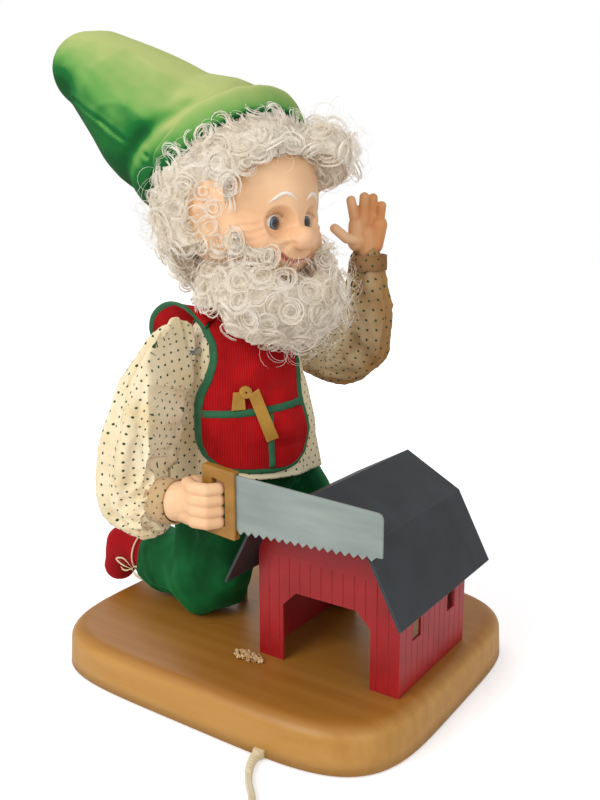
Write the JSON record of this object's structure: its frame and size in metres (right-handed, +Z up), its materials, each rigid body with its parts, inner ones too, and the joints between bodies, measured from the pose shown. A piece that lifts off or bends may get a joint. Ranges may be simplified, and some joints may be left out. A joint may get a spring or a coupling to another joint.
{
  "type": "animatronic display elf",
  "caption": "Mains-driven display figure: a dressed elf kneels on a moulded base, strokes a hand saw beside a toy barn and turns its head",
  "frame": {"origin": "on the floor under the middle of the figure's outline, hat and base included", "axes": "+X along the base's long side towards the barn, +Y to the back of the base, +Z up"},
  "size_m": [0.4253, 0.4601, 0.5702],
  "materials": {
    "base_plastic": "moulded golden-brown plastic, light satin",
    "cover_board": "pressed fibre board",
    "foot_rubber": "matt rubber",
    "cord_plastic": "ivory flexible plastic",
    "tie_plastic": "white twist band",
    "barn_red": "satin moulded plastic",
    "roof_grey": "satin moulded plastic",
    "shavings": "glued fine wood shavings",
    "steel": "plain bright sheet and rod",
    "zinc": "plain cast housing",
    "inner_plastic": "natural moulded plastic",
    "torso_plastic": "plain moulded plastic",
    "shirt_cloth": "printed cotton, matt",
    "red_cord_cloth": "fine corduroy",
    "green_velvet": "short pile velvet",
    "red_felt": "felt",
    "green_velour": "short pile velour",
    "green_velour_dark": "short pile velour",
    "skin_vinyl": "soft satin vinyl",
    "eye_plastic": "polished",
    "hair_fibre": "curled synthetic fibre",
    "rule_plastic": "painted plastic",
    "handle_plastic": "painted plastic",
    "blade_plastic": "satin grey-green plastic"
  },
  "bodies": {
    "stand": {"base_shell": "base_plastic", "base_cover": "cover_board", "foot_front_left": "foot_rubber", "foot_front_right": "foot_rubber", "foot_back_left": "foot_rubber", "foot_back_right": "foot_rubber", "cord_gland": "cord_plastic", "power_cord": "cord_plastic", "power_cord_coil": "cord_plastic", "plug": "cord_plastic", "cord_tie": "tie_plastic", "barn_walls": "barn_red", "barn_roof": "roof_grey", "wood_shavings": "shavings", "body_post": "steel", "chassis": "steel", "motor_can": "steel", "gearbox": "zinc", "shoulder_bush_right": "inner_plastic", "shoulder_bush_left": "inner_plastic", "neck_bush": "inner_plastic", "torso_shell": "torso_plastic", "shirt_body": "shirt_cloth", "vest": "red_cord_cloth", "vest_pocket": "red_cord_cloth", "folding_rule": "rule_plastic", "trousers": "green_velvet", "boot_right": "red_felt", "boot_left": "red_felt"},
    "crank": {"output_shaft": "steel", "crank_disc": "inner_plastic"},
    "link": {"connecting_rod": "steel"},
    "arms": {"shoulder_lever": "steel", "shoulder_shaft": "steel", "head_drive_pin": "steel", "sleeve_right": "shirt_cloth", "sleeve_left": "shirt_cloth", "arm_wire_right": "steel", "arm_wire_left": "steel", "hand_right": "skin_vinyl", "hand_left": "skin_vinyl", "saw_handle": "handle_plastic", "saw_blade": "blade_plastic"},
    "head": {"head_fork": "steel", "neck_shaft": "steel", "neck_plate": "inner_plastic", "head_shell": "skin_vinyl", "eye_right": "eye_plastic", "eye_left": "eye_plastic", "wig": "hair_fibre", "beard": "hair_fibre", "hat": "green_velour", "hat_cuff": "green_velour_dark"}
  },
  "joints": [
    {"name": "arm_swing", "type": "hinge", "parent": "stand", "child": "arms", "pos_m": [-0.029, 0, 0.292], "axis": [0, 1, 0], "range_deg": [-5, 5]},
    {"name": "head_turn", "type": "hinge", "parent": "stand", "child": "head", "pos_m": [-0.029, 0, 0.304], "axis": [0, 0, 1], "range_deg": [-6, 6]},
    {"name": "crank_spin", "type": "hinge", "parent": "stand", "child": "crank", "pos_m": [0.005, 0.005, 0.225], "axis": [0, 1, 0], "continuous": true},
    {"name": "link_swing", "type": "hinge", "parent": "arms", "child": "link", "pos_m": [0.005, 0.014, 0.292], "axis": [0, 1, 0], "range_deg": [-6, 6]}
  ],
  "couplings": [
    {"joint": "head_turn", "follows": "arm_swing", "ratio": -1},
    {"joint": "link_swing", "follows": "arm_swing", "ratio": -1}
  ]
}
